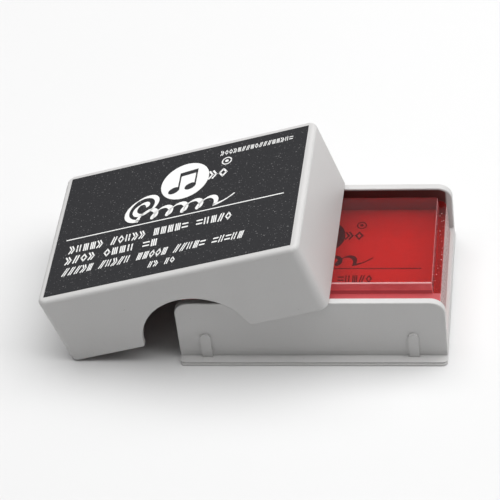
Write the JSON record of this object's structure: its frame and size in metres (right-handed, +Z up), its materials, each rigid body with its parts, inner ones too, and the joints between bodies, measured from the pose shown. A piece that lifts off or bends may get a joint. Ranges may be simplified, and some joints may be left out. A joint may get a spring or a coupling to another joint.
{
  "type": "rosin cake",
  "caption": "Rectangular cake of bow rosin in a plastic trough, with the labelled box cover with thumb notches leaning across it, open.",
  "frame": {"origin": "middle of the tray's underside, on the surface the box stands on", "axes": "+X along the length of the tray, away from the end the cover leans over; +Y across the tray; +Z up"},
  "size_m": [0.0858, 0.0418, 0.0337],
  "materials": {
    "tray_plastic": "light grey moulded plastic, fine satin grain",
    "sheet_paper": "printed paper",
    "rosin": "clear red cast resin with small bubbles and a dusty edge",
    "cover_plastic": "light grey moulded plastic, fine satin grain",
    "label_print": "black printed adhesive label, fine paper grain"
  },
  "bodies": {
    "tray": {"tray": "tray_plastic", "printed_sheet": "sheet_paper", "rosin_cake": "rosin"},
    "cover": {"cover": "cover_plastic", "cover_label": "label_print"}
  },
  "joints": [
    {"name": "cover_lift", "type": "slide", "parent": "tray", "child": "cover", "axis": [0, 0, 1], "range_m": [0, 0.03]}
  ]
}
